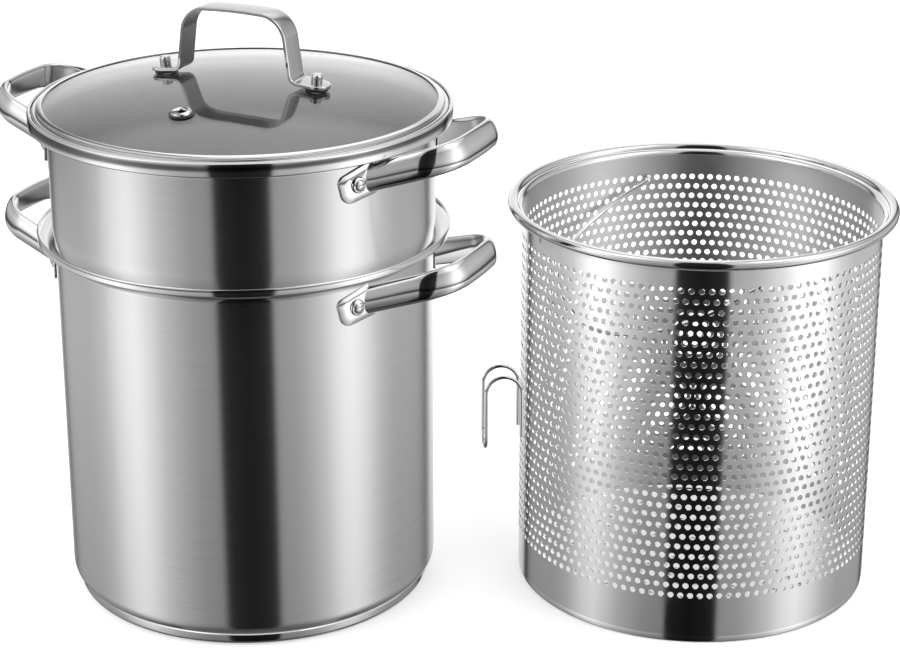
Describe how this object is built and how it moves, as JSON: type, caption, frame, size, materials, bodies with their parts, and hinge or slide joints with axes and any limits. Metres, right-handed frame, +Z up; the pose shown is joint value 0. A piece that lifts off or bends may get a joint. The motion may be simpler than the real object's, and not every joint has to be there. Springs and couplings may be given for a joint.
{
  "type": "asparagus pot",
  "caption": "Tall stainless pot with a stacked steamer, a domed glass lid and a deep perforated basket with a hook and a folding bail.",
  "frame": {"origin": "centre of the pot's base, on the surface that everything stands on", "axes": "+Z up along the pot's axis; +X from the pot towards the basket; +Y away from the viewer"},
  "size_m": [0.5768, 0.2664, 0.383],
  "materials": {
    "satin_steel": "satin",
    "polished_steel": "polished",
    "lid_glass": "clear",
    "silicone": "matt"
  },
  "bodies": {
    "set": {"pot_body": "satin_steel", "pot_base": "polished_steel", "pot_handle_right": "polished_steel", "pot_handle_left": "polished_steel", "pot_rivets": "polished_steel", "steamer_body": "satin_steel", "steamer_handle_right": "polished_steel", "steamer_handle_left": "polished_steel", "steamer_rivets": "polished_steel", "lid_glass": "lid_glass", "lid_rim": "polished_steel", "lid_handle": "satin_steel", "lid_bolts": "polished_steel", "lid_washers": "silicone", "lid_inner_washers": "polished_steel", "lid_nuts": "polished_steel", "lid_vent": "polished_steel", "lid_vent_seal": "silicone", "basket_wall": "polished_steel", "basket_floor": "polished_steel", "basket_hook": "polished_steel"},
    "bail": {"basket_bail": "polished_steel"}
  },
  "joints": [
    {"name": "bail_hinge", "type": "hinge", "parent": "set", "child": "bail", "pos_m": [0.292, 0.002, 0.236], "axis": [-0.225, 0.9744, 0], "continuous": true}
  ]
}
